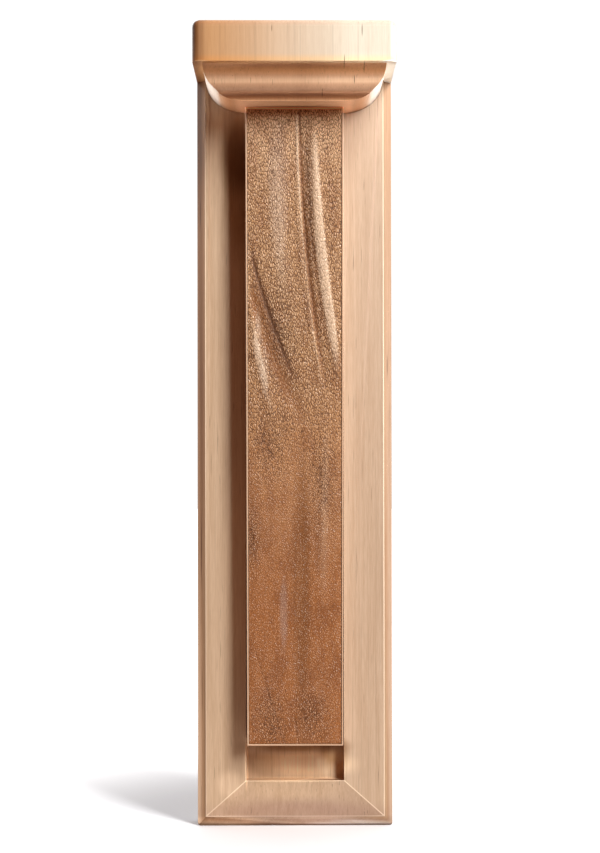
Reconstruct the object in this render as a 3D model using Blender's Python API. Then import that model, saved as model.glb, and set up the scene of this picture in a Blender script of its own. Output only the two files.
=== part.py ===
"""Decorative bracket: a tall wall corbel in pale wood, with a leather-faced tongue.

The bracket faces -Y and its back lies in the plane y = 0. The origin is the middle of the back,
where it is fixed to the wall. Heights are measured up from its foot, and reaches are measured
forward from the back, so a reach r lies at y = -r.
"""

from math import atan2, cos, exp, pi, sin

import bmesh
import bpy

MM = 0.001

# The whole bracket
WIDTH = 127.0 * MM
HEIGHT = 512.0 * MM
GAP = 0.3 * MM  # the glue line between two pieces

# The frame: one board whose face falls away from a sunk opening on three sides
BOARD_REACH = 26.0 * MM  # thickness of the board at the edge of the opening
SIDE_CHAMFER = 5.5 * MM
FOOT_CHAMFER = 7.0 * MM
CHAMFER_DROP = 5.5 * MM
SIDE_BEVEL = 26.3 * MM
FOOT_BEVEL = 23.8 * MM
BEVEL_DROP = 3.4 * MM  # how far the bevels fall to the outer arrises
OPENING_SINK = 9.0 * MM  # from the edge of the opening to its floor
FOOT_ROUND = 1.6 * MM
HOUSING_SINK = 1.2 * MM  # how far the bell is let in behind the outer arrises

# The capital: a rounded cap over a bell
CAP_HEIGHT = 26.3 * MM
CAP_REACH = 76.0 * MM
CAP_ROUND = 4.5 * MM
BELL_MARGIN = 0.6 * MM  # the bell's top inside the outer arrises of the frame
BELL_SET_BACK = 0.8 * MM  # the flat reveal under the cap's front edge
COVE_REACH = 7.4 * MM  # the upper hollow of the bell's front
COVE_HEIGHT = 10.6 * MM
ROLL_REACH = 4.2 * MM  # the round below the hollow
ROLL_HEIGHT = 6.1 * MM
HOLLOW_REACH = 3.4 * MM  # the small hollow that runs out in the lip
HOLLOW_HEIGHT = 3.6 * MM
LIP_HEIGHT = 1.1 * MM

# The tongue: a strip in the opening that leans out towards its top
OPEN_RECESS = 24.9 * MM  # the part of the opening that shows below the tongue
TONGUE_FOOT_EASE = 1.0 * MM  # the free space at each side of it
TONGUE_TOP_EASE = 0.35 * MM
TONGUE_FOOT_PROUD = 13.4 * MM  # its face in front of the edge of the opening
TONGUE_TOP_PROUD = 16.8 * MM
RIM = 0.9 * MM
POCKET_SINK = 3.0 * MM  # depth of the pocket for the leather

# The leather
LEATHER_THICKNESS = 2.2 * MM
LEATHER_CROWN = 0.4 * MM
LEATHER_FADE = 5.0 * MM  # how far from its edges the folds die out
LEATHER_COLUMNS = 26
LEATHER_ROWS = 56

ARC_STEPS = 14
ROUND_STEPS = 6
OVERRUN = 8.0 * MM  # how far a shape runs on into the one it is joined to or cut from
HEAD_RISE = 2.0 * MM  # how far the opening runs up behind the bell

# Worked out from the sizes above
CAP_UNDERSIDE = HEIGHT - CAP_HEIGHT
BELL_HEIGHT = COVE_HEIGHT + ROLL_HEIGHT + HOLLOW_HEIGHT + LIP_HEIGHT
BELL_FOOT = CAP_UNDERSIDE - BELL_HEIGHT
BELL_TOP_HALF = WIDTH / 2 - SIDE_CHAMFER - BELL_MARGIN
OPENING_HALF = WIDTH / 2 - SIDE_CHAMFER - SIDE_BEVEL
OPENING_FOOT = FOOT_CHAMFER + FOOT_BEVEL
OPENING_FLOOR = BOARD_REACH - OPENING_SINK
OPENING_TOP = BELL_FOOT + HEAD_RISE
ARRIS_REACH = BOARD_REACH - BEVEL_DROP
BELL_BACK = ARRIS_REACH - HOUSING_SINK
TONGUE_FOOT = OPENING_FOOT + OPEN_RECESS
TONGUE_TOP = BELL_FOOT - GAP
TONGUE_BACK = OPENING_FLOOR + GAP
TONGUE_LEAN = atan2(TONGUE_TOP_PROUD - TONGUE_FOOT_PROUD, TONGUE_TOP - TONGUE_FOOT)
PANEL_MARGIN = RIM + GAP
PANEL_FOOT = TONGUE_FOOT + PANEL_MARGIN
PANEL_TOP = TONGUE_TOP - PANEL_MARGIN


class Fold:
    """A long soft ridge or hollow of the leather. Its line is the parabola through three places,
    at its top, half-way down and at its foot, and it dies out towards both ends. Its ends are
    fractions of the leather's height, and its places fractions of the leather's half-width."""

    def __init__(self, top, foot, places, width, rise):
        self.top = top
        self.foot = foot
        self.places = places
        self.width = width * MM
        self.rise = rise * MM

    def height(self, x, half, up):
        down = (self.top - up) / (self.top - self.foot)
        if not 0.0 < down < 1.0:
            return 0.0
        at_top, half_way, at_foot = self.places
        bend = 2.0 * (at_top + at_foot - 2.0 * half_way)
        line = half * (at_top + (at_foot - at_top - bend) * down + bend * down * down)
        return self.rise * sin(pi * down) ** 0.6 * exp(-(((x - line) / self.width) ** 2))


FOLDS = [
    Fold(0.98, 0.56, (0.40, 0.56, 1.03), 3.4, 1.30),  # the ridge at the right
    Fold(1.00, 0.54, (0.17, 0.27, 0.76), 2.6, -0.80),  # the valley beside it
    Fold(1.00, 0.54, (0.06, 0.15, 0.66), 1.5, 0.45),  # the long narrow crease
    Fold(0.83, 0.50, (-1.45, -0.75, 0.20), 6.0, -1.20),  # the broad valley at the left
    Fold(0.76, 0.50, (-1.25, -0.87, -0.40), 3.2, 0.70),  # the ridge along its lower side
    Fold(0.99, 0.68, (-0.40, -0.35, -0.20), 6.0, 0.70),  # the soft swelling above
    Fold(0.50, 0.02, (0.12, 0.15, 0.13), 4.0, -0.45),  # the shallow hollow lower down
    Fold(0.56, 0.18, (0.66, 0.64, 0.58), 4.0, 0.45),  # the low ridge beside it
]


def clear_scene():
    for obj in list(bpy.data.objects):
        bpy.data.objects.remove(obj, do_unlink=True)


def material(name, colour, roughness):
    """A Principled material. Wood and leather aren't metals."""
    made = bpy.data.materials.new(name)
    made.use_nodes = True
    shader = made.node_tree.nodes["Principled BSDF"]
    shader.inputs["Base Color"].default_value = (*colour, 1.0)
    shader.inputs["Roughness"].default_value = roughness
    shader.inputs["Metallic"].default_value = 0.0
    return made


def add_object(name, bm, parent, surface=None):
    """Makes an object of the bmesh, with its faces pointing out, and frees the bmesh."""
    bmesh.ops.recalc_face_normals(bm, faces=bm.faces)
    mesh = bpy.data.meshes.new(name)
    bm.to_mesh(mesh)
    bm.free()
    obj = bpy.data.objects.new(name, mesh)
    bpy.context.scene.collection.objects.link(obj)
    obj.parent = parent
    if surface:
        mesh.materials.append(surface)
    return obj


def hide_guide(obj):
    """Marks an object that only cuts or joins another one."""
    obj.hide_render = True
    obj.display_type = "WIRE"


def combine(obj, other, operation):
    modifier = obj.modifiers.new(operation.title(), "BOOLEAN")
    modifier.operation = operation
    modifier.solver = "EXACT"
    modifier.object = other


def extrude_outline(outline, axis, start, end):
    """A closed prism over an outline of (a, b) pairs: axis "X" reads them as (y, z) and runs the
    prism from x = start to x = end, and axis "Y" reads them as (x, z) and runs it along y."""
    bm = bmesh.new()
    rings = []
    for along in (start, end):
        if axis == "X":
            ring = [bm.verts.new((along, a, b)) for a, b in outline]
        else:
            ring = [bm.verts.new((a, along, b)) for a, b in outline]
        bm.faces.new(ring)
        rings.append(ring)
    for i in range(len(outline)):
        after = (i + 1) % len(outline)
        bm.faces.new((rings[0][i], rings[0][after], rings[1][after], rings[1][i]))
    return bm


def quarter_turn(steps, include_first=True):
    """The angles of a quarter circle, from 0 to 90 degrees."""
    first = 0 if include_first else 1
    return [pi / 2 * step / steps for step in range(first, steps + 1)]


def bell_outline(ease):
    """The bell seen from the front, grown all round by ease: a flat foot between two quarter
    ellipses that rise to its full width under the cap."""
    across = BELL_TOP_HALF - OPENING_HALF + ease
    down = BELL_HEIGHT + ease
    right = [
        (OPENING_HALF + across * sin(turn), CAP_UNDERSIDE - down * cos(turn))
        for turn in quarter_turn(ARC_STEPS)
    ]
    right.append((BELL_TOP_HALF + ease, CAP_UNDERSIDE + OVERRUN))
    left = [(-x, z) for x, z in reversed(right)]
    return right + left


def bell_profile():
    """The bell seen from the side, as (y, z): cove, round, small hollow and lip."""
    reach = CAP_REACH - BELL_SET_BACK
    height = CAP_UNDERSIDE
    points = [(reach, height + OVERRUN / 2)]
    for turn in quarter_turn(ARC_STEPS):
        points.append(
            (reach - COVE_REACH * sin(turn), height - COVE_HEIGHT * (1.0 - cos(turn)))
        )
    reach -= COVE_REACH
    height -= COVE_HEIGHT
    for turn in quarter_turn(ARC_STEPS, include_first=False):
        points.append(
            (reach - ROLL_REACH * (1.0 - cos(turn)), height - ROLL_HEIGHT * sin(turn))
        )
    reach -= ROLL_REACH
    height -= ROLL_HEIGHT
    for turn in quarter_turn(ROUND_STEPS, include_first=False):
        points.append(
            (reach - HOLLOW_REACH * sin(turn), height - HOLLOW_HEIGHT * (1.0 - cos(turn)))
        )
    reach -= HOLLOW_REACH
    points.append((reach, BELL_FOOT - OVERRUN))
    points.append((BELL_BACK, BELL_FOOT - OVERRUN))
    points.append((BELL_BACK, CAP_UNDERSIDE + OVERRUN / 2))
    return [(-forward, z) for forward, z in points]


def frame_ring(bm, half, foot, top, reach):
    """Four corners, from the left side's top round the foot to the right side's top."""
    corners = [(-half, top), (-half, foot), (half, foot), (half, top)]
    return [bm.verts.new((x, -reach, z)) for x, z in corners]


def make_frame(parent, wood):
    top = CAP_UNDERSIDE - GAP
    half = WIDTH / 2
    bm = bmesh.new()
    back = frame_ring(bm, half, 0.0, top, 0.0)
    side = frame_ring(bm, half, 0.0, top, ARRIS_REACH - CHAMFER_DROP)
    arris = frame_ring(bm, half - SIDE_CHAMFER, FOOT_CHAMFER, top, ARRIS_REACH)
    edge = frame_ring(bm, OPENING_HALF, OPENING_FOOT, top, BOARD_REACH)
    head_left = bm.verts.new((-OPENING_HALF, -BOARD_REACH, OPENING_TOP))
    head_right = bm.verts.new((OPENING_HALF, -BOARD_REACH, OPENING_TOP))
    floor = frame_ring(bm, OPENING_HALF, OPENING_FOOT, OPENING_TOP, OPENING_FLOOR)

    for outer, inner in ((back, side), (side, arris)):
        for i in range(3):
            bm.faces.new((outer[i], outer[i + 1], inner[i + 1], inner[i]))
    bm.faces.new((arris[0], arris[1], edge[1], head_left, edge[0]))
    bm.faces.new((arris[1], arris[2], edge[2], edge[1]))
    bm.faces.new((arris[2], arris[3], edge[3], head_right, edge[2]))
    bm.faces.new((head_left, edge[1], floor[1], floor[0]))
    bm.faces.new((edge[1], edge[2], floor[2], floor[1]))
    bm.faces.new((edge[2], head_right, floor[3], floor[2]))
    bm.faces.new((head_right, head_left, floor[0], floor[3]))
    bm.faces.new((edge[0], head_left, head_right, edge[3]))
    bm.faces.new(floor)
    bm.faces.new(back)
    bm.faces.new(
        (back[0], side[0], arris[0], edge[0], edge[3], arris[3], side[3], back[3])
    )

    foot_corners = [
        e for e in bm.edges if set(e.verts) in ({back[1], side[1]}, {back[2], side[2]})
    ]
    bmesh.ops.bevel(
        bm, geom=foot_corners, offset=FOOT_ROUND, segments=3, profile=0.5, affect="EDGES"
    )
    frame = add_object("frame", bm, parent, wood)

    housing = extrude_outline(
        bell_outline(GAP), "Y", -(BELL_BACK - GAP), -(BOARD_REACH + OVERRUN)
    )
    cutter = add_object("housing_cutter", housing, parent)
    hide_guide(cutter)
    combine(frame, cutter, "DIFFERENCE")
    return frame


def make_capital(parent, wood):
    """The cap and the bell under it, carved as one block."""
    half = WIDTH / 2
    block = [(-half, CAP_UNDERSIDE), (half, CAP_UNDERSIDE), (half, HEIGHT), (-half, HEIGHT)]
    bm = extrude_outline(block, "Y", -CAP_REACH, 0.0)

    def rounded(edge):
        """The top edges and the two upright front edges. The back stays square to the wall."""
        on_back = all(abs(v.co.y) < GAP for v in edge.verts)
        on_top = all(abs(v.co.z - HEIGHT) < GAP for v in edge.verts)
        upright_front = all(abs(v.co.y + CAP_REACH) < GAP for v in edge.verts) and (
            abs(edge.verts[0].co.x - edge.verts[1].co.x) < GAP
        )
        return not on_back and (on_top or upright_front)

    bmesh.ops.bevel(
        bm,
        geom=[e for e in bm.edges if rounded(e)],
        offset=CAP_ROUND,
        segments=ROUND_STEPS,
        profile=0.5,
        affect="EDGES",
    )
    capital = add_object("capital", bm, parent, wood)

    outline = extrude_outline(
        bell_outline(0.0), "Y", -(CAP_REACH + OVERRUN), -(BELL_BACK - OVERRUN)
    )
    bell = add_object("bell_guide", outline, parent)
    side = extrude_outline(bell_profile(), "X", -WIDTH / 2, WIDTH / 2)
    profile = add_object("bell_profile_guide", side, parent)
    combine(bell, profile, "INTERSECT")
    combine(capital, bell, "UNION")
    hide_guide(bell)
    hide_guide(profile)
    capital.data.shade_smooth()
    capital.data.set_sharp_from_angle(angle=pi / 6)
    return capital


def tongue_half(z):
    """Half the width of the tongue at a height above the bracket's foot."""
    up = (z - TONGUE_FOOT) / (TONGUE_TOP - TONGUE_FOOT)
    ease = TONGUE_FOOT_EASE + (TONGUE_TOP_EASE - TONGUE_FOOT_EASE) * up
    return OPENING_HALF - ease


def make_tongue(parent, wood):
    """A strip that widens and leans out towards its top, with a shallow pocket in its face."""
    bm = bmesh.new()
    rings = []
    for z, proud in ((TONGUE_FOOT, TONGUE_FOOT_PROUD), (TONGUE_TOP, TONGUE_TOP_PROUD)):
        half = tongue_half(z)
        face = -(BOARD_REACH + proud)
        corners = [(-half, -TONGUE_BACK), (-half, face), (half, face), (half, -TONGUE_BACK)]
        rings.append([bm.verts.new((x, y, z)) for x, y in corners])
    low, high = rings
    for i in range(4):
        after = (i + 1) % 4
        face = bm.faces.new((low[i], low[after], high[after], high[i]))
        if i == 1:
            front = face
    bm.faces.new(low)
    bm.faces.new(high)
    bmesh.ops.recalc_face_normals(bm, faces=bm.faces)
    inward = -front.normal * POCKET_SINK
    bmesh.ops.inset_region(bm, faces=[front], thickness=RIM, use_even_offset=True)
    pocket = bmesh.ops.extrude_discrete_faces(bm, faces=[front])["faces"][0]
    bmesh.ops.translate(bm, verts=pocket.verts, vec=inward)
    return add_object("tongue", bm, parent, wood)


def leather_height(x, half, z):
    """How far the leather stands off its back at a place across it and a height above the
    bracket's foot: its thickness, and a crown and folds that die out at its edges."""
    inside = min(half - abs(x), z - PANEL_FOOT, PANEL_TOP - z)
    fade = sin(pi / 2 * min(1.0, max(0.0, inside / LEATHER_FADE)))
    up = (z - PANEL_FOOT) / (PANEL_TOP - PANEL_FOOT)
    relief = LEATHER_CROWN + sum(fold.height(x, half, up) for fold in FOLDS)
    return LEATHER_THICKNESS + relief * fade


def make_leather(parent, leather):
    """The leather in the pocket, modelled upright and then leaned with the tongue's face."""
    bm = bmesh.new()
    rows = []
    for row in range(LEATHER_ROWS + 1):
        z = PANEL_FOOT + (PANEL_TOP - PANEL_FOOT) * row / LEATHER_ROWS
        half = tongue_half(z) - PANEL_MARGIN
        verts = []
        for column in range(LEATHER_COLUMNS + 1):
            x = half * (2.0 * column / LEATHER_COLUMNS - 1.0)
            stand = leather_height(x, half, z)
            verts.append(bm.verts.new((x, -stand, z - PANEL_FOOT)))
        rows.append(verts)
    for lower, upper in zip(rows, rows[1:]):
        for i in range(LEATHER_COLUMNS):
            bm.faces.new((lower[i], lower[i + 1], upper[i + 1], upper[i]))

    border = [edge for edge in bm.edges if edge.is_boundary]
    walls = bmesh.ops.extrude_edge_only(bm, edges=border)["geom"]
    for item in walls:
        if isinstance(item, bmesh.types.BMVert):
            item.co.y = 0.0
    rim = [item for item in walls if isinstance(item, bmesh.types.BMEdge) and item.is_boundary]
    bmesh.ops.contextual_create(bm, geom=rim)

    panel = add_object("leather_panel", bm, parent, leather)
    back = BOARD_REACH + TONGUE_FOOT_PROUD - POCKET_SINK + GAP
    panel.location = (0.0, -back - PANEL_MARGIN * sin(TONGUE_LEAN), PANEL_FOOT)
    panel.rotation_euler = (TONGUE_LEAN, 0.0, 0.0)
    panel.data.shade_smooth()
    panel.data.set_sharp_from_angle(angle=pi / 4)
    return panel


def main():
    clear_scene()
    foot = bpy.data.objects.new("bracket_foot", None)
    foot.location = (0.0, 0.0, -HEIGHT / 2)
    bpy.context.scene.collection.objects.link(foot)
    pale_wood = material("pale_wood", (0.60, 0.40, 0.25), 0.45)
    cap_wood = material("cap_wood", (0.66, 0.46, 0.30), 0.42)
    tongue_wood = material("tongue_wood", (0.58, 0.37, 0.23), 0.45)
    brown_leather = material("brown_leather", (0.34, 0.17, 0.09), 0.50)
    make_frame(foot, pale_wood)
    make_capital(foot, cap_wood)
    make_tongue(foot, tongue_wood)
    make_leather(foot, brown_leather)


main()
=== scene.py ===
from math import atan, pi, radians

import bmesh
import bpy
import numpy as np
from mathutils import Euler, Matrix, Vector, noise


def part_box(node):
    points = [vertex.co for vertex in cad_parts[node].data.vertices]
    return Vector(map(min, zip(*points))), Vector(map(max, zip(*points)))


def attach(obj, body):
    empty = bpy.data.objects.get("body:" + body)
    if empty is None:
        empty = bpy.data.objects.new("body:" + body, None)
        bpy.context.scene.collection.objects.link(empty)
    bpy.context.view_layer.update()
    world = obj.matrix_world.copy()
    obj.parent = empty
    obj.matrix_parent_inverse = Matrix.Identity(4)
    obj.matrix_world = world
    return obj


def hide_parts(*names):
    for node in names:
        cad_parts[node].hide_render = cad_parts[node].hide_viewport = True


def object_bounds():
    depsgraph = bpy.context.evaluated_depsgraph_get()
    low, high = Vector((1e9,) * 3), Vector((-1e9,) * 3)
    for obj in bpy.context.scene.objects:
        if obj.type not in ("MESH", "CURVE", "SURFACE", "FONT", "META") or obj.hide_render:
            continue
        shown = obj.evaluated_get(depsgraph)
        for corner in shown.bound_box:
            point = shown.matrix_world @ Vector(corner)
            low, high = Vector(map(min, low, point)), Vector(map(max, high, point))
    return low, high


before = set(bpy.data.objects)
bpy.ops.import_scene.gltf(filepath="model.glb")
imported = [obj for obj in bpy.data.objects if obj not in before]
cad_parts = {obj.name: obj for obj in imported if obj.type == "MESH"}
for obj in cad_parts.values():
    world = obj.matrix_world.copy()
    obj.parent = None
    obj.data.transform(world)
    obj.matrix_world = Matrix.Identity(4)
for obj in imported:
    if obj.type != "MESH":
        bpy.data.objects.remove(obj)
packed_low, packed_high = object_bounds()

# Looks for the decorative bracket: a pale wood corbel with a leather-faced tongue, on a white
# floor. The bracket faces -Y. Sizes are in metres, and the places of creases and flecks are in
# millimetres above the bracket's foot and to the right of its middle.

MM = 0.001
FOOT = packed_low.z
CAP_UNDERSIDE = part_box("frame")[1].z
IMAGE_HEIGHT = 853

# The camera, from the outlines in the photo
CAMERA_RIGHT = -3.9 * MM
CAMERA_ABOVE_FOOT = 235.8 * MM
CAMERA_AWAY = 1046.7 * MM  # in front of the edge of the board's opening
CAMERA_PITCH = 0.497
CAMERA_YAW = 0.401
CAMERA_ROLL = 0.090
CAMERA_CLIP = (0.05, 60.0)
FOCAL_PIXELS = 1612.8
SHIFT_PIXELS = 23.65
SENSOR = 36.0

# The board and the tongue, as the solids have them
BOARD_REACH = -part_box("frame")[0].y
TONGUE_LOW, TONGUE_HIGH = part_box("tongue")
PANEL_LOW, PANEL_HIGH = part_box("leather_panel")
TONGUE_TOP_REACH = -TONGUE_LOW.y
TONGUE_FOOT_REACH = BOARD_REACH + 13.4 * MM
TONGUE_LEAN = atan(
    (TONGUE_TOP_REACH - TONGUE_FOOT_REACH) / (TONGUE_HIGH.z - TONGUE_LOW.z)
)
TONGUE_TAPER = 0.65 * MM  # how much narrower each side of the tongue is at its foot
RIM = 1.2 * MM
PANEL_BACK = 2.7 * MM  # from the tongue's face in to the leather's back
PANEL_FOOT = PANEL_LOW.z
PANEL_HEIGHT = TONGUE_HIGH.z - RIM - PANEL_FOOT
PANEL_HALF = PANEL_HIGH.x
PANEL_THICKNESS = 2.2 * MM
PANEL_CROWN = 0.4 * MM
PANEL_FADE = 5.0 * MM  # how far from its edges the broad folds die out
GRAIN_FADE = 1.0 * MM  # and the fine ones
GRID = 0.53 * MM

# The world's light, and where it changes along Y and Z of a direction
ROOM = (0.120, 0.043, 0.020)  # from in front
STUDIO = (1.05, 1.05, 1.05)  # from behind and from the sides
TABLE = (0.20, 0.12, 0.08)  # from straight below
ROOM_TO_STUDIO = (-0.04, 0.22)
LOW_TO_STUDIO = (-0.30, -0.03)
TABLE_TO_ROOM = (-0.95, -0.70)

FLOOR_SIZE = 16.0
FLOOR_GREY = (0.78, 0.80, 0.84)
FLOOR_GLOW = (0.10, 1.10)  # near the bracket and away from it
FLOOR_GLOW_FROM = 80.0 * MM
FLOOR_GLOW_FULL = 360.0 * MM
BACKDROP_RADIUS = 7.5
BACKDROP_GLOW = 1.05
WHITE = (1.0, 1.0, 1.0)
BLACK = (0.0, 0.0, 0.0)

# How much the arrises are eased, and the length from which one is a long one
WOOD_ARRIS = 0.60 * MM
FRONT_ARRIS = 0.36 * MM
LONG_ARRIS = 20.0 * MM
CAP_ARRIS = 0.40 * MM
RIM_ARRIS = 0.20 * MM
SAME_POINT = 0.001 * MM
FLAT_ANGLE = 0.5  # in degrees: two faces that meet at less are one face
WOOD_CREASE = 50  # in degrees: the least angle that is shaded as an edge
LEATHER_CREASE = 60

SPOT_CORE = 0.35  # the part of a spot that has its full strength
SWEEP_HALF = 66.0 * MM
STEP = 0.5 * MM  # how softly a tone begins at a height
LINE_TONE = 0.60
PORE_TONE = 0.45
FLECK_BROWN = (0.10, 0.045, 0.02)
FLECK_SHARE = 0.8
END_GRAIN = (0.87, 0.80, 0.78)
# Pale eased arrises: partly real wear and partly a painted highlight along the edges
RUBBED_WOOD_AND_HIGHLIGHT = (0.98, 0.80, 0.60)
RUBBED_AND_HIGHLIGHT_SHARE = 0.75
WOOD_RELIEF = 0.08 * MM

LOW_HIDE = ((0.425, 0.160, 0.048), (0.335, 0.118, 0.034))
HIGH_HIDE = ((0.600, 0.330, 0.155), (0.480, 0.235, 0.100))
# Painted light on the top of the leather, which lies under the bell
HEAD_PAINTED_LIGHT = (1.45, 1.65, 1.95)
# Paler ridges and darker hollows: painted sheen and painted shade, partly also wear
RUBBED_HIDE_AND_SHEEN = (0.860, 0.680, 0.500)
HOLLOW_HIDE_AND_SHADE = (0.300, 0.115, 0.034)
# Painted highlight on the crowns of the pebbles
PAINTED_PEBBLE_HIGHLIGHT = (0.880, 0.700, 0.520)
# Painted shade in the creases of the grain and the folds
CREASE_SHADE = (0.085, 0.032, 0.012)
LEATHER_RELIEF = 0.24 * MM

# The grain of the hide: cells per metre in its surface, and the pebbles of its mesh
FINE_CELLS = (1150.0, 1150.0, 640.0)
COARSE_CELLS = (1050.0, 1050.0, 400.0)
FINE_PEBBLE = (1.05 * MM, 1.4 * MM)
COARSE_PEBBLE = (1.40 * MM, 2.5 * MM)
DRAWN_PEBBLE = (1.3 * MM, 4.2 * MM)
COARSE_FROM = 0.40  # of the leather's height
COARSE_RISE = 0.22
# How deep the creases of the grain are in millimetres, and what coarse and drawn-out grain add
GRAIN_DEPTH = 0.11
COARSE_DEPTH = 0.15
DRAWN_DEPTH = 0.30
FULL_CREASE = 0.30 * MM  # a crease of the grain that is marked as fully deep
FULL_FOLD = 0.50 * MM  # and a fold


class Shader:
    """A node material in the making. Each method adds a node and gives back its output."""

    def __init__(self, name):
        self.material = bpy.data.materials.new(name)
        self.material.use_nodes = True
        self.tree = self.material.node_tree
        self.surface = self.tree.nodes["Principled BSDF"]
        self.place = self.add("ShaderNodeTexCoord").outputs["Object"]

    def add(self, kind, **settings):
        node = self.tree.nodes.new(kind)
        for key, value in settings.items():
            setattr(node, key, value)
        return node

    def feed(self, node, name, value):
        target = node.inputs[name]
        if isinstance(value, bpy.types.NodeSocket):
            self.tree.links.new(value, target)
        elif isinstance(value, tuple) and len(value) == 3 and target.type == "RGBA":
            target.default_value = (*value, 1.0)
        else:
            target.default_value = value

    def math(self, operation, a, b=0.0):
        node = self.add("ShaderNodeMath", operation=operation)
        self.feed(node, 0, a)
        self.feed(node, 1, b)
        return node.outputs[0]

    def axis(self, letter):
        split = self.add("ShaderNodeSeparateXYZ")
        self.feed(split, 0, self.place)
        return split.outputs[letter]

    def stretched(self, scale, offset=(0.0, 0.0, 0.0)):
        """The object's coordinates, scaled along each axis."""
        node = self.add("ShaderNodeMapping")
        self.feed(node, "Vector", self.place)
        self.feed(node, "Scale", scale)
        self.feed(node, "Location", offset)
        return node.outputs[0]

    def noise(self, scale, offset=(0.0, 0.0, 0.0), detail=3.0, roughness=0.55, warp=0.0):
        node = self.add("ShaderNodeTexNoise")
        self.feed(node, "Vector", self.stretched(scale, offset))
        self.feed(node, "Scale", 1.0)
        self.feed(node, "Detail", detail)
        self.feed(node, "Roughness", roughness)
        self.feed(node, "Distortion", warp)
        return node.outputs[0]

    def remap(self, value, low, high, to_low=0.0, to_high=1.0):
        node = self.add("ShaderNodeMapRange", interpolation_type="SMOOTHSTEP")
        for name, given in zip(
            ("Value", "From Min", "From Max", "To Min", "To Max"),
            (value, low, high, to_low, to_high),
        ):
            self.feed(node, name, given)
        return node.outputs[0]

    def rising(self, low, high):
        """0 below a low height and 1 above a high one, in millimetres over the foot."""
        return self.remap(self.axis("Z"), FOOT + low * MM, FOOT + high * MM)

    def cells(self, scale):
        """The distance to the edge of each cell of an irregular, stretched honeycomb."""
        node = self.add("ShaderNodeTexVoronoi", feature="DISTANCE_TO_EDGE")
        self.feed(node, "Vector", self.stretched(scale))
        self.feed(node, "Scale", 1.0)
        return node.outputs["Distance"]

    def mix(self, low, high, share, blend="MIX"):
        node = self.add("ShaderNodeMix", data_type="RGBA", blend_type=blend)
        self.feed(node, 0, share)
        self.feed(node, 6, low)
        self.feed(node, 7, high)
        return node.outputs[2]

    def bump(self, height, distance):
        node = self.add("ShaderNodeBump")
        self.feed(node, "Height", height)
        self.feed(node, "Distance", distance)
        self.feed(node, "Strength", 1.0)
        self.feed(self.surface, "Normal", node.outputs[0])

    def spot(self, right, up, half_width, half_height):
        """A soft upright oval round a place on the front, 1 in its middle and 0 outside."""
        node = self.add("ShaderNodeMapping")
        self.feed(node, "Vector", self.place)
        scale = (1.0 / (half_width * MM), 0.0, 1.0 / (half_height * MM))
        self.feed(node, "Scale", scale)
        centre = (-right * MM * scale[0], 0.0, -(FOOT + up * MM) * scale[2])
        self.feed(node, "Location", centre)
        length = self.add("ShaderNodeVectorMath", operation="LENGTH")
        self.feed(length, 0, node.outputs[0])
        return self.remap(length.outputs["Value"], SPOT_CORE, 1.0, 1.0, 0.0)


def darker(colour, share):
    return tuple(share * part for part in colour)


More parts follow.
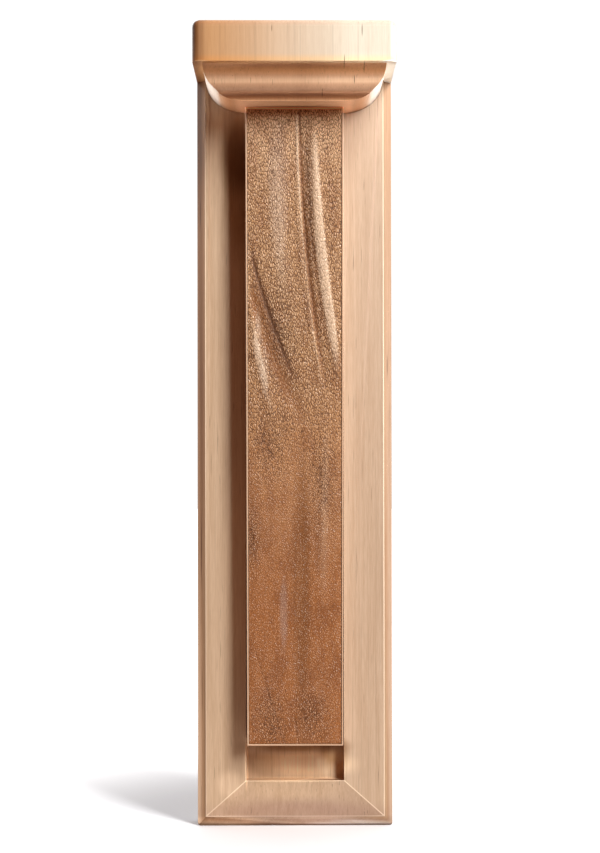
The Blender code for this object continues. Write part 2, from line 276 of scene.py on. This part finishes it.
def wood(name, pale, dark, seed, flecks=(), stains_and_light=(), light_sweep=None, above=FOOT, side=None):
    """Close, straight-grained wood with upright fibres, satin finished. It is duller where a
    face cuts across the fibres, and pale along its eased arrises, partly wear and partly a
    painted highlight. stains_and_light and light_sweep leave out the back and the flat sides.
    Most spots
    given in stains_and_light are painted light and shade. light_sweep is painted light and
    shade:
    the tones of the left and right ends, above a height. Side is painted light and shade on the
    faces that look sideways: a tone, and the height it ends at."""
    shader = Shader(name)
    normal = shader.add("ShaderNodeSeparateXYZ")
    shader.feed(normal, 0, shader.add("ShaderNodeNewGeometry").outputs["Normal"])
    sideways = shader.math("ABSOLUTE", normal.outputs["X"])
    shown = shader.remap(sideways, 0.93, 0.995, 1.0, 0.0)
    ahead = shader.remap(normal.outputs["Y"], 0.1, 0.5, 1.0, 0.0)
    shown = shader.math("MULTIPLY", shown, ahead)
    shift = (seed * 3.1, seed * 1.7, seed * 2.3)
    figure = shader.noise((60.0, 60.0, 3.0), shift, detail=5.0, warp=0.8)
    streaks = shader.noise((700.0, 700.0, 11.0), shift, detail=4.0, roughness=0.65)
    fibres = shader.noise((2400.0, 2400.0, 110.0), shift, detail=2.0)
    tone = shader.math("MULTIPLY", figure, 0.34)
    tone = shader.math("ADD", tone, shader.math("MULTIPLY", streaks, 0.38))
    tone = shader.math("ADD", tone, shader.math("MULTIPLY", fibres, 0.28))
    colour = shader.mix(dark, pale, shader.remap(tone, 0.36, 0.64))
    lines = shader.noise((520.0, 520.0, 5.0), (9.0 + seed, 4.0, 6.0), detail=2.0)
    line = shader.remap(lines, 0.60, 0.70, 0.0, 0.20)
    colour = shader.mix(colour, darker(dark, LINE_TONE), line)
    pores = shader.noise((1500.0, 1500.0, 42.0), (5.0 + seed, 2.0, 8.0), detail=1.0)
    pore = shader.remap(pores, 0.69, 0.76, 0.0, 0.6)
    colour = shader.mix(colour, darker(dark, PORE_TONE), pore)
    # Painted light and shade across the width, above a height
    if light_sweep:
        high = shader.remap(shader.axis("Z"), above - STEP, above)
        across = shader.remap(shader.axis("X"), -SWEEP_HALF, SWEEP_HALF)
        painted_sweep_tones = shader.mix(*light_sweep, across)
        share = shader.math("MULTIPLY", high, shown)
        colour = shader.mix(colour, painted_sweep_tones, share, "MULTIPLY")
    for right, up, half_width, half_height in flecks:
        mark = shader.spot(right, up, half_width, half_height)
        broken = shader.remap(streaks, 0.35, 0.60, 0.45, 1.0)
        mark = shader.math("MULTIPLY", shader.math("MULTIPLY", mark, broken), shown)
        colour = shader.mix(colour, FLECK_BROWN, shader.math("MULTIPLY", mark, FLECK_SHARE))
    tilt = shader.math("ABSOLUTE", normal.outputs["Z"])
    cut = shader.remap(tilt, 0.06, 0.24)
    colour = shader.mix(colour, END_GRAIN, cut, "MULTIPLY")
    # Painted light and shade on the faces that look sideways below a height
    if side:
        tint, top = side
        share = shader.remap(shader.axis("Z"), top - STEP, top, 1.0, 0.0)
        share = shader.math("MULTIPLY", share, shader.remap(sideways, 0.35, 0.60))
        colour = shader.mix(colour, tint, share, "MULTIPLY")
    # Pale arrises: partly real wear and partly a painted highlight
    wear_and_highlight = shader.add("ShaderNodeAttribute", attribute_name="wear_and_highlight").outputs["Fac"]
    colour = shader.mix(colour, RUBBED_WOOD_AND_HIGHLIGHT, shader.math("MULTIPLY", wear_and_highlight, RUBBED_AND_HIGHLIGHT_SHARE))
    # Spots, most of them painted light and shade
    for right, up, half_width, half_height, tint in stains_and_light:
        stain_and_light = shader.math("MULTIPLY", shader.spot(right, up, half_width, half_height), shown)
        colour = shader.mix(colour, tint, stain_and_light, "MULTIPLY")
    shader.feed(shader.surface, "Base Color", colour)
    shader.feed(shader.surface, "Roughness", shader.remap(streaks, 0.3, 0.7, 0.38, 0.50))
    height = shader.math("SUBTRACT", tone, shader.math("MULTIPLY", pore, 0.5))
    shader.bump(height, WOOD_RELIEF)
    return shader.material


def leather(name):
    """Brown leather: greyer and paler towards the top, redder and smoother below. Painted shade
    darkens the creases of its grain; a painted highlight lightens the crowns of its pebbles; its
    ridges are paler and its hollows darker, painted sheen and painted shade partly with wear;
    and painted light lightens its top under the bell. The mesh carries how deep each place lies
    as the attribute depth, how high its folds stand as ridge, and where its grain is drawn out
    as patch."""
    shader = Shader(name)
    mottle = shader.remap(shader.noise((110.0, 110.0, 50.0), detail=3.0), 0.4, 0.65)
    low = shader.mix(*LOW_HIDE, mottle)
    high = shader.mix(*HIGH_HIDE, mottle)
    colour = shader.mix(low, high, shader.rising(130.0, 340.0))
    # Painted light on the top of the leather, under the bell
    colour = shader.mix(colour, HEAD_PAINTED_LIGHT, shader.rising(405.0, 455.0), "MULTIPLY")
    ridge = shader.add("ShaderNodeAttribute", attribute_name="ridge").outputs["Fac"]
    # Paler ridges and darker hollows: painted sheen and painted shade, partly also wear
    rubbed_and_sheen = shader.remap(ridge, 0.15, 1.0, 0.0, 0.60)
    colour = shader.mix(colour, RUBBED_HIDE_AND_SHEEN, rubbed_and_sheen)
    hollow_and_shade = shader.remap(ridge, -0.10, -0.9, 0.0, 0.75)
    colour = shader.mix(colour, HOLLOW_HIDE_AND_SHADE, hollow_and_shade)
    for right, above, half_width, half_height, tone, share in TONES_AND_PAINTED_LIGHT:
        spot = shader.spot(right, above, half_width, half_height)
        colour = shader.mix(colour, tone, shader.math("MULTIPLY", spot, share))
    depth = shader.add("ShaderNodeAttribute", attribute_name="depth").outputs["Fac"]
    coarse = shader.rising(190.0, 300.0)
    cell = shader.mix(shader.cells(FINE_CELLS), shader.cells(COARSE_CELLS), coarse)
    relief = shader.remap(coarse, 0.0, 1.0, 0.66, 1.0)
    patch = shader.add("ShaderNodeAttribute", attribute_name="patch").outputs["Fac"]
    relief = shader.math("ADD", relief, shader.math("MULTIPLY", patch, 0.35))
    steep = shader.remap(shader.math("ABSOLUTE", ridge), 0.2, 1.1, 1.0, 0.50)
    relief = shader.math("MULTIPLY", relief, steep)
    gap = shader.math("MULTIPLY", shader.remap(cell, 0.02, 0.16, 1.0, 0.0), relief)
    # Painted highlight on the crowns of the pebbles
    crown_highlight = shader.math("MULTIPLY", shader.remap(cell, 0.16, 0.40), relief)
    colour = shader.mix(colour, PAINTED_PEBBLE_HIGHLIGHT, shader.math("MULTIPLY", crown_highlight, 0.42))
    # Painted shade in the creases of the grain and the folds
    dark = shader.math("ADD", shader.math("MULTIPLY", depth, 0.55), gap)
    colour = shader.mix(colour, CREASE_SHADE, shader.remap(dark, 0.20, 1.20, 0.0, 0.85))
    shader.feed(shader.surface, "Base Color", colour)
    shader.feed(shader.surface, "Roughness", shader.remap(dark, 0.10, 0.8, 0.30, 0.60))
    dome = shader.math("MULTIPLY", shader.remap(cell, 0.0, 0.30), relief)
    shader.bump(dome, LEATHER_RELIEF)
    return shader.material


def softened(node, material, arris, least, front_arris=0.0):
    """A finer copy of a solid. Its outward arrises sharper than the least angle are eased as by
    sanding, and marked for pale wood, partly wear and partly a painted highlight. The long ones
    in front may be eased more."""
    bm = bmesh.new()
    bm.from_mesh(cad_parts[node].data)
    bmesh.ops.remove_doubles(bm, verts=bm.verts, dist=SAME_POINT)
    bmesh.ops.dissolve_limit(
        bm, angle_limit=radians(FLAT_ANGLE), verts=bm.verts, edges=bm.edges
    )
    bmesh.ops.recalc_face_normals(bm, faces=bm.faces)
    sharp = [edge for edge in bm.edges if edge.calc_face_angle_signed(0.0) > radians(least)]
    wear_and_highlight = bm.faces.layers.float.new("wear_and_highlight")

    def ease(edges, offset, clamp):
        eased = bmesh.ops.bevel(
            bm, geom=edges, offset=offset, segments=3, profile=0.5, affect="EDGES",
            clamp_overlap=clamp,
        )
        for face in eased["faces"]:
            face[wear_and_highlight] = 1.0

    if front_arris:
        long_ones = [
            edge for edge in sharp
            if edge.calc_length() > LONG_ARRIS and all(v.co.y < -LONG_ARRIS for v in edge.verts)
        ]
        sharp = [edge for edge in sharp if edge not in long_ones]
        ease(long_ones, front_arris, False)
    ease([edge for edge in sharp if edge.is_valid], arris, True)
    mesh = bpy.data.meshes.new(node + "_soft")
    bm.to_mesh(mesh)
    bm.free()
    mesh.shade_smooth()
    mesh.set_sharp_from_angle(angle=radians(WOOD_CREASE))
    piece = bpy.data.objects.new(node + "_soft", mesh)
    bpy.context.scene.collection.objects.link(piece)
    weigh = piece.modifiers.new("flat faces", "WEIGHTED_NORMAL")
    weigh.mode = "FACE_AREA"
    weigh.weight = 100
    weigh.keep_sharp = True
    mesh.materials.append(material)
    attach(piece, "root")
    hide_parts(node)


class Fold:
    """A long soft ridge or hollow. Its line is the parabola through three places, at its top,
    half-way down and at its foot, and it dies out towards both ends. The ends are fractions of
    the leather's height, the places fractions of its half-width, and the rest millimetres."""

    def __init__(self, top, foot, places, width, rise, sharp=2.0):
        self.top = top
        self.foot = foot
        self.places = places
        self.width = width * MM
        self.rise = rise * MM
        self.sharp = sharp  # 2 is a round section, 1 a pinched one

    def height(self, x, half, up):
        down = np.clip((self.top - up) / (self.top - self.foot), 0.0, 1.0)
        at_top, half_way, at_foot = self.places
        bend = 2.0 * (at_top + at_foot - 2.0 * half_way)
        line = half * (at_top + (at_foot - at_top - bend) * down + bend * down * down)
        section = np.exp(-(np.abs((x - line) / self.width) ** self.sharp))
        return self.rise * np.sin(pi * down) ** 0.6 * section


BROAD_FOLDS = [
    Fold(0.98, 0.56, (0.40, 0.56, 1.03), 3.4, 1.30),  # the ridge at the right
    Fold(1.00, 0.54, (0.17, 0.27, 0.76), 2.6, -0.80),  # the valley beside it
    Fold(1.00, 0.54, (0.06, 0.15, 0.66), 1.5, 0.45),  # the long narrow crease
    Fold(0.83, 0.50, (-1.45, -0.75, 0.20), 6.0, -1.20),  # the broad valley at the left
    Fold(0.76, 0.50, (-1.25, -0.87, -0.40), 3.2, 0.70),  # the ridge along its lower side
    Fold(0.99, 0.68, (-0.40, -0.35, -0.20), 6.0, 0.70),  # the soft swelling above
    Fold(0.50, 0.02, (0.12, 0.15, 0.13), 4.0, -0.45),  # the shallow hollow lower down
    Fold(0.56, 0.18, (0.66, 0.64, 0.58), 4.0, 0.45),  # the low ridge beside it
]

FINE_FOLDS = [
    Fold(1.12, 0.56, (0.07, 0.14, 0.60), 0.8, 0.75, 1.3),  # the lip of the long crease
    Fold(1.12, 0.56, (0.12, 0.19, 0.65), 0.8, -0.65, 1.3),  # and the dark line beside it
    Fold(0.97, 0.60, (0.44, 0.62, 0.98), 1.3, 0.45, 1.5),  # the crest of the right ridge
    Fold(0.98, 0.60, (0.25, 0.38, 0.76), 0.9, -0.35, 1.3),  # the bottom of its valley
    Fold(0.80, 0.57, (-1.00, -0.58, 0.02), 1.7, -0.75, 1.3),  # the line of the left valley
    Fold(0.71, 0.56, (-1.00, -0.80, -0.56), 1.7, 0.45, 1.5),  # the crest below it
    Fold(0.37, 0.14, (0.02, 0.03, 0.01), 0.5, 0.12, 1.2),  # the thin upright line
    Fold(0.18, -0.02, (-1.02, -0.58, -0.16), 0.6, -0.25, 1.0),  # the long diagonal crease
    Fold(0.050, -0.03, (-0.02, 0.05, 0.16), 0.6, -0.35, 1.0),  # two short creases at the foot
    Fold(0.035, -0.03, (-0.20, -0.26, -0.33), 0.6, -0.25, 1.0),
]

# Patches of drawn-out grain: the middle (right, up), half-width and half-height in millimetres,
# and how far the grain leans to the right on its way down
PATCHES = [
    (-15.9, 71.3, 9.0, 17.0, 0.75),
    (11.1, 74.6, 9.0, 15.0, -0.15),
    (-15.9, 248.3, 11.0, 22.0, 0.30),
    (17.6, 229.0, 9.0, 30.0, 0.22),
    (-28.0, 190.0, 5.0, 17.0, 0.25),
    (-10.0, 320.0, 9.0, 30.0, 0.45),
]

# Tones of the leather, most of them painted light and shade: the middle (right, up),
# half-width and half-height in millimetres, the colour and how much of it
TONES_AND_PAINTED_LIGHT = [
    (4.0, 160.0, 8.0, 120.0, (0.240, 0.085, 0.020), 0.60),  # the ochre hollow: the hide's tone, with painted shade
    (9.5, 400.0, 5.0, 75.0, (0.260, 0.110, 0.035), 0.60),  # painted shade in the valley above it
    (-7.3, 139.6, 3.4, 32.0, (0.480, 0.330, 0.270), 0.38),  # the grey sheen
    (-10.5, 415.0, 9.0, 60.0, (0.560, 0.370, 0.250), 0.50),  # painted light on the swelling
    (-23.5, 319.0, 3.0, 20.0, (0.860, 0.700, 0.540), 0.28),  # the light on the left ridge
    (-19.5, 294.0, 3.4, 20.0, (0.860, 0.700, 0.540), 0.26),
]


def pebbles(x, z, wide, tall, lean, seed):
    """The grain of the hide at each place: 0 in the creases round its pebbles and 1 on top. The
    pebbles lean to the right on their way down, and their rows waver."""
    out = np.empty(x.size)
    across = (x + lean * z).ravel() / wide
    along = z.ravel() / tall
    for i, (a, b) in enumerate(zip(across, along)):
        wave = noise.noise((a * 0.35, b * 0.35, seed))
        near = noise.voronoi(Vector((a + 0.5 * wave, b + 0.8 * wave, seed)))[0]
        out[i] = min(1.0, (near[1] - near[0]) * 3.0)
    out = out * (2.0 - out)
    return out.reshape(x.shape)


def leather_grain(x, z, up):
    """The pebbles all over the hide, and how deep the creases between them are: large and deep
    above, small and shallow below, and drawn out in patches."""
    coarse = np.clip((up - COARSE_FROM) / COARSE_RISE, 0.0, 1.0)
    top = coarse * pebbles(x, z, *COARSE_PEBBLE, 0.0, 0.0)
    top = top + (1.0 - coarse) * pebbles(x, z, *FINE_PEBBLE, 0.0, 7.0)
    strength = GRAIN_DEPTH + COARSE_DEPTH * coarse
    patch = np.zeros(x.shape)
    for right, above, half_width, half_height, lean in PATCHES:
        away = ((x - right * MM) / (half_width * MM)) ** 2
        away = away + ((z + PANEL_FOOT - FOOT - above * MM) / (half_height * MM)) ** 2
        share = np.exp(-away)
        near = share > 0.02
        drawn = np.ones(x.shape)
        drawn[near] = pebbles(x[near], z[near], *DRAWN_PEBBLE, lean, above)
        top = top * (1.0 - share) + drawn * share
        strength = strength + DRAWN_DEPTH * share
        patch = np.maximum(patch, share)
    return top, strength * MM, patch


def leather_mesh():
    """The leather as a fine grid over its broad folds, creases and grain, closed behind. It is
    modelled upright and then leaned with the tongue's face."""
    columns = int(2 * PANEL_HALF / GRID)
    rows = int(PANEL_HEIGHT / GRID)
    up = np.linspace(0.0, 1.0, rows + 1)[:, None]
    share = np.linspace(-1.0, 1.0, columns + 1)[None, :]
    half = PANEL_HALF - TONGUE_TAPER * (1.0 - up)
    x = share * half
    x, z, up, half = np.broadcast_arrays(x, up * PANEL_HEIGHT, up, half)

    inside = np.minimum(np.minimum(half - np.abs(x), z), PANEL_HEIGHT - z)
    fade = np.sin(pi / 2 * np.clip(inside / PANEL_FADE, 0.0, 1.0))
    relief = PANEL_CROWN + sum(fold.height(x, half, up) for fold in BROAD_FOLDS)
    fine = sum(fold.height(x, half, up) for fold in FINE_FOLDS)
    top, strength, patch = leather_grain(x, z, up)
    edge = np.clip(inside / GRAIN_FADE, 0.0, 1.0)
    stand = PANEL_THICKNESS + relief * fade + (fine - strength * (1.0 - top)) * edge

    count = (rows + 1) * (columns + 1)
    points = np.stack([x.ravel(), -stand.ravel(), z.ravel()], 1)
    index = np.arange(count).reshape(rows + 1, columns + 1)
    rim = np.concatenate([index[0, :-1], index[:-1, -1], index[-1, :0:-1], index[:0:-1, 0]])
    back = points[rim] * (1.0, 0.0, 1.0)
    behind = np.arange(len(rim)) + count
    quads = np.stack(
        [index[:-1, :-1], index[:-1, 1:], index[1:, 1:], index[1:, :-1]], 2
    ).reshape(-1, 4)
    walls = np.stack([rim, behind, np.roll(behind, -1), np.roll(rim, -1)], 1)
    faces = quads.tolist() + walls.tolist() + [behind.tolist()]
    mesh = bpy.data.meshes.new("leather")
    mesh.from_pydata(np.concatenate([points, back]).tolist(), [], faces)
    marks = {
        "depth": (1.0 - top) * strength / FULL_CREASE - np.minimum(fine, 0.0) / FULL_FOLD,
        "ridge": (relief - PANEL_CROWN + 2.0 * fine) * fade / MM,
        "patch": patch,
    }
    for name, mark in marks.items():
        values = np.concatenate([mark.ravel(), np.zeros(len(rim))])
        mesh.attributes.new(name, "FLOAT", "POINT").data.foreach_set("value", values)

    bm = bmesh.new()
    bm.from_mesh(mesh)
    bmesh.ops.recalc_face_normals(bm, faces=bm.faces)
    bm.to_mesh(mesh)
    bm.free()
    reach = TONGUE_FOOT_REACH - PANEL_BACK
    lean = Euler((TONGUE_LEAN, 0.0, 0.0)).to_matrix().to_4x4()
    mesh.transform(Matrix.Translation((0.0, -reach, PANEL_FOOT)) @ lean)
    mesh.shade_smooth()
    mesh.set_sharp_from_angle(angle=radians(LEATHER_CREASE))
    return mesh


def make_leather(material):
    piece = bpy.data.objects.new("leather_grain", leather_mesh())
    bpy.context.scene.collection.objects.link(piece)
    piece.data.materials.append(material)
    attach(piece, "root")
    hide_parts("leather_panel")


def make_floor():
    """A white floor under the bracket's foot. It glows like a light table away from the bracket,
    so that only the shadow beside the foot shows. It throws no light or shade on the bracket."""
    bpy.ops.mesh.primitive_grid_add(x_subdivisions=4, y_subdivisions=4, size=FLOOR_SIZE)
    floor = bpy.context.object
    floor.name = "floor"
    floor.location = (0.0, 0.0, FOOT)
    floor.visible_diffuse = False
    floor.visible_glossy = False
    floor.visible_shadow = False
    paint = Shader("white_floor")
    apart = paint.add("ShaderNodeVectorMath", operation="LENGTH")
    paint.feed(apart, 0, paint.place)
    glow = paint.remap(apart.outputs["Value"], FLOOR_GLOW_FROM, FLOOR_GLOW_FULL, *FLOOR_GLOW)
    paint.feed(paint.surface, "Base Color", FLOOR_GREY)
    paint.feed(paint.surface, "Roughness", 0.6)
    paint.feed(paint.surface, "Emission Color", WHITE)
    paint.feed(paint.surface, "Emission Strength", glow)
    paint.material.cycles.emission_sampling = "NONE"
    floor.data.materials.append(paint.material)


def make_backdrop():
    """A white dome round everything, which throws no light or shade on the bracket."""
    bpy.ops.mesh.primitive_uv_sphere_add(segments=48, ring_count=24, radius=BACKDROP_RADIUS)
    dome = bpy.context.object
    dome.name = "backdrop"
    dome.visible_diffuse = False
    dome.visible_glossy = False
    dome.visible_transmission = False
    dome.visible_shadow = False
    paint = Shader("white_backdrop")
    paint.feed(paint.surface, "Base Color", BLACK)
    paint.feed(paint.surface, "Specular IOR Level", 0.0)
    paint.feed(paint.surface, "Emission Color", WHITE)
    paint.feed(paint.surface, "Emission Strength", BACKDROP_GLOW)
    paint.material.cycles.emission_sampling = "NONE"
    dome.data.materials.append(paint.material)


def make_world():
    """The light round the bracket: a white studio behind it and at its sides, a dim, warm room
    in front of it so that its shadows stay deep, and a dim table straight below."""
    world = bpy.data.worlds.new("studio")
    bpy.context.scene.world = world
    world.use_nodes = True
    tree = world.node_tree
    place = tree.nodes.new("ShaderNodeTexCoord")
    split = tree.nodes.new("ShaderNodeSeparateXYZ")
    tree.links.new(place.outputs["Generated"], split.inputs[0])

    def share(axis, none, full):
        """How far a direction lies along an axis, from 0 at none to 1 at full."""
        ramp = tree.nodes.new("ShaderNodeMapRange")
        ramp.interpolation_type = "SMOOTHSTEP"
        ramp.inputs["From Min"].default_value = none
        ramp.inputs["From Max"].default_value = full
        tree.links.new(split.outputs[axis], ramp.inputs["Value"])
        return ramp.outputs[0]

    def blend(low, high, amount):
        mix = tree.nodes.new("ShaderNodeMix")
        mix.data_type = "RGBA"
        for number, value in ((6, low), (7, high)):
            if isinstance(value, tuple):
                mix.inputs[number].default_value = (*value, 1.0)
            else:
                tree.links.new(value, mix.inputs[number])
        tree.links.new(amount, mix.inputs[0])
        return mix.outputs[2]

    colour = blend(ROOM, STUDIO, share("Y", *ROOM_TO_STUDIO))
    colour = blend(ROOM, colour, share("Z", *LOW_TO_STUDIO))
    colour = blend(TABLE, colour, share("Z", *TABLE_TO_ROOM))
    tree.links.new(colour, tree.nodes["Background"].inputs["Color"])


def add_light(name, direction, away, size, power, colour, target=(0.0, 0.0, 0.0), spread=180.0):
    """A soft box that hangs away from a target in a direction and points at it. Its spread is
    the angle of its beam in degrees."""
    data = bpy.data.lights.new(name, "AREA")
    data.shape = "RECTANGLE"
    data.size, data.size_y = size
    data.energy = power
    data.color = colour
    data.spread = radians(spread)
    light = bpy.data.objects.new(name, data)
    toward = Vector(direction).normalized()
    light.location = Vector(target) + toward * away
    light.rotation_euler = toward.to_track_quat("Z", "Y").to_euler()
    light.visible_camera = False
    bpy.context.scene.collection.objects.link(light)


def make_camera():
    """The camera of the photo: close to square on, a little below the middle."""
    data = bpy.data.cameras.new("camera")
    data.sensor_width = SENSOR
    data.lens = FOCAL_PIXELS / IMAGE_HEIGHT * SENSOR
    data.shift_y = SHIFT_PIXELS / IMAGE_HEIGHT
    data.clip_start, data.clip_end = CAMERA_CLIP
    camera = bpy.data.objects.new("camera", data)
    away = -(BOARD_REACH + CAMERA_AWAY)
    camera.location = (CAMERA_RIGHT, away, FOOT + CAMERA_ABOVE_FOOT)
    camera.rotation_euler = (
        radians(90.0 + CAMERA_PITCH), radians(CAMERA_ROLL), radians(-CAMERA_YAW)
    )
    bpy.context.scene.collection.objects.link(camera)
    bpy.context.scene.camera = camera


# Flecks of the grain: the middle (right, up), half-width and half-height in millimetres
CAP_FLECKS = [
    (-14.0, 506.0, 0.45, 3.0),
    (42.0, 505.0, 0.45, 5.5),
    (43.5, 483.0, 0.45, 4.0),
    (31.0, 486.0, 0.40, 5.0),
    (37.5, 476.0, 0.45, 3.5),
    (17.5, 468.5, 0.40, 3.0),
]
# Painted light across the cap: darker at its left end and paler at its right, where the light
# falls
CAP_PAINTED_LIGHT_SWEEP = ((0.73, 0.62, 0.43), (1.12, 1.66, 2.28))

# Tones on the faces that look forward, most of them painted light and shade: the middle
# (right, up), half-width and half-height in millimetres, and the tone
CAP_STAINS_AND_PAINTED_LIGHT = [
    (-70.0, 499.0, 18.0, 80.0, (0.40, 0.30, 0.24)),  # painted shade on the left edge of the cap
    (-62.0, 485.6, 10.0, 0.8, (1.60, 2.10, 2.90)),  # painted reflection on the ends of its underside
    (62.0, 485.6, 10.0, 0.8, (1.50, 1.95, 2.70)),
    (0.0, 466.9, 400.0, 3.8, (0.76, 0.58, 0.44)),  # painted shade in the bell's small hollow
    (0.0, 463.9, 400.0, 1.2, (1.40, 1.40, 1.40)),  # a painted highlight on the lip below it
    (0.0, 463.6, 50.0, 1.4, (0.62, 0.60, 0.54)),  # painted shade over the tongue's top
    (0.0, 484.0, 400.0, 7.0, (1.16, 1.00, 0.76)),  # the yellower wood under the cap
    (44.0, 475.0, 44.0, 18.0, (1.22, 1.28, 1.34)),  # painted light on the right of the bell
]
TONGUE_PAINTED_HIGHLIGHT = [(0.0, 464.0, 400.0, 4.0, (2.3, 2.2, 2.0))]  # a painted highlight on the top of the rim
BOARD_PAINTED_LIGHT_AND_SHADE = [
    (7.0, 41.0, 40.0, 12.0, (1.68, 1.75, 1.68)),  # painted light on the floor of the opening
    (0.0, 53.0, 44.0, 8.0, (0.50, 0.37, 0.26)),  # painted shadow at its top, under the tongue
    (-31.6, 42.0, 1.5, 22.0, (1.50, 1.50, 1.45)),  # a painted highlight on its left edge
    (0.0, 30.7, 40.0, 1.4, (1.22, 1.22, 1.18)),  # and on its foot
    (0.0, 27.0, 44.0, 12.0, (1.10, 1.11, 1.08)),  # painted light on the top of the bottom bevel
    (0.0, 8.0, 80.0, 14.0, (0.80, 0.74, 0.78)),  # painted shade on the lower bevel and the foot
    (0.0, -1.0, 400.0, 3.4, (0.38, 0.32, 0.30)),  # painted shade along its lower edge, where it meets the floor
    (-62.5, 350.0, 5.0, 330.0, (0.54, 0.46, 0.40)),  # painted shade on the left chamfer
    (-36.0, 438.0, 16.0, 36.0, (0.40, 0.30, 0.22)),  # the deep shade left of the bell's foot
    (-36.0, 415.0, 12.0, 60.0, (0.68, 0.58, 0.48)),  # and on down beside the tongue
    (-37.0, 165.0, 13.0, 90.0, (1.18, 1.18, 1.16)),  # and its paler end
    (-22.0, 40.0, 13.0, 14.0, (0.94, 0.90, 0.84)),  # painted shade on the left of the opening
    (-42.0, 28.0, 12.0, 12.0, (1.24, 1.28, 1.32)),  # painted light on the left end of the bottom bevel
    (-42.0, 3.5, 30.0, 5.0, (1.75, 1.85, 1.90)),  # painted light on the left of the foot's chamfer
    (46.0, 3.5, 30.0, 5.0, (0.74, 0.72, 0.70)),  # and darker on its right
    (25.0, 49.0, 13.0, 16.0, (0.62, 0.50, 0.38)),  # the shade at the right of the opening
]
# Painted shade across the board: darker towards the right, against the stronger light there
BOARD_PAINTED_SHADE_SWEEP = ((1.06, 1.08, 1.07), (0.84, 0.85, 0.87))
BOARD_FLECKS = [
    (-61.5, 400.0, 0.35, 14.0),
    (-61.0, 180.0, 0.40, 32.0),
    (-60.5, 90.0, 0.35, 24.0),
    (60.5, 300.0, 0.35, 10.0),
]

# The board's sideways faces, its chamfers and the walls of its opening, get painted shade
board_wood = wood(
    "board_wood", (0.720, 0.530, 0.370), (0.580, 0.400, 0.260), 1.0,
    BOARD_FLECKS, BOARD_PAINTED_LIGHT_AND_SHADE, BOARD_PAINTED_SHADE_SWEEP, side=((0.95, 0.86, 0.76), CAP_UNDERSIDE),
)
# The bell's sideways returns get painted light, nearly white
capital_wood = wood(
    "capital_wood", (0.740, 0.475, 0.292), (0.650, 0.402, 0.240), 2.0,
    CAP_FLECKS, CAP_STAINS_AND_PAINTED_LIGHT, CAP_PAINTED_LIGHT_SWEEP, CAP_UNDERSIDE,
    side=((1.15, 1.60, 2.20), CAP_UNDERSIDE),
)
tongue_wood = wood(
    "tongue_wood", (0.700, 0.430, 0.270), (0.560, 0.320, 0.185), 3.0, stains_and_light=TONGUE_PAINTED_HIGHLIGHT
)

softened("frame", board_wood, WOOD_ARRIS, 5.0, FRONT_ARRIS)
softened("capital", capital_wood, CAP_ARRIS, 35.0)
softened("tongue", tongue_wood, RIM_ARRIS, 30.0)
make_leather(leather("brown_leather"))

make_floor()
make_backdrop()
make_world()
add_light(
    "key", direction=(0.78, -1.0, 1.00), away=1.7, size=(0.42, 1.40), power=48.5,
    colour=(1.0, 0.98, 0.95),
)
for name, side in (("glow_left", -1.0), ("glow_right", 1.0)):
    add_light(
        name, direction=(side, 0.10, -0.30), away=0.50, size=(0.03, 0.03), power=0.012,
        colour=(0.92, 0.96, 1.0), spread=9.0,
        target=(side * 48.0 * MM, -52.0 * MM, CAP_UNDERSIDE - 14.0 * MM),
    )
add_light(
    "bounce", direction=(0.0, -0.70, -1.0), away=0.22, size=(0.30, 0.12), power=0.36,
    colour=(1.0, 0.92, 0.84), target=(0.0, -BOARD_REACH, FOOT),
)
make_camera()
bpy.context.scene.view_settings.view_transform = "Standard"
